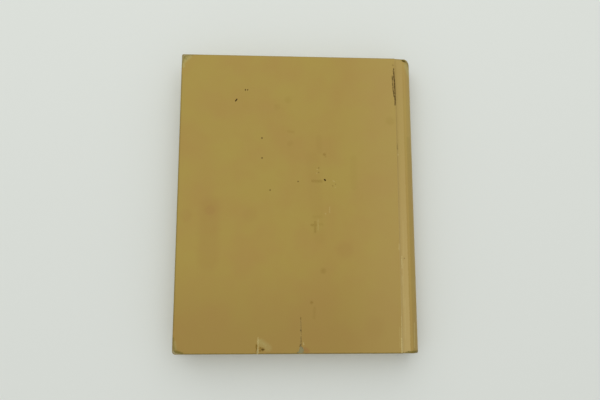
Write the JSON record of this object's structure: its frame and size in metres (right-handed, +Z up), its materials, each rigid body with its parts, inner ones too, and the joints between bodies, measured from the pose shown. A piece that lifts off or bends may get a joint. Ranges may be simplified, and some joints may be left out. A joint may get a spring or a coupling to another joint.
{
  "type": "hardcover book",
  "caption": "Closed case-bound book with stiff paper-covered boards, a rounded spine, joint grooves and two hinged covers.",
  "frame": {"origin": "middle of the book's footprint, at the underside of the front cover, which the book lies on", "axes": "+X from the fore-edge to the spine, +Y from the tail to the head, +Z up, out of the back cover"},
  "size_m": [0.2246, 0.283, 0.028],
  "materials": {
    "covering": "satin coated paper, olive ochre, rubbed",
    "board": "raw grey board",
    "card": "raw card",
    "pages": "uncoated, slightly yellowed",
    "endpaper": "uncoated, matt",
    "gauze": "open cotton gauze with glue",
    "lining": "brown kraft paper",
    "band": "cotton cord over tape"
  },
  "bodies": {
    "block": {"text_block": "pages", "back_free_endpaper": "endpaper", "front_free_endpaper": "endpaper", "spine_mull": "gauze", "spine_lining": "lining", "head_band": "band", "tail_band": "band", "spine_stiffener": "card", "spine_cover_paper": "covering"},
    "back_cover": {"back_board": "board", "back_cover_paper": "covering", "back_mull_flange": "gauze", "back_pastedown": "endpaper"},
    "front_cover": {"front_board": "board", "front_cover_paper": "covering", "front_mull_flange": "gauze", "front_pastedown": "endpaper"}
  },
  "joints": [
    {"name": "back_cover_hinge", "type": "hinge", "parent": "block", "child": "back_cover", "pos_m": [0.09917, 0, 0.0273], "axis": [0, 1, 0], "range_deg": [0, 179]},
    {"name": "front_cover_hinge", "type": "hinge", "parent": "block", "child": "front_cover", "pos_m": [0.09917, 0, 0.0007], "axis": [0, -1, 0], "range_deg": [0, 179]}
  ]
}
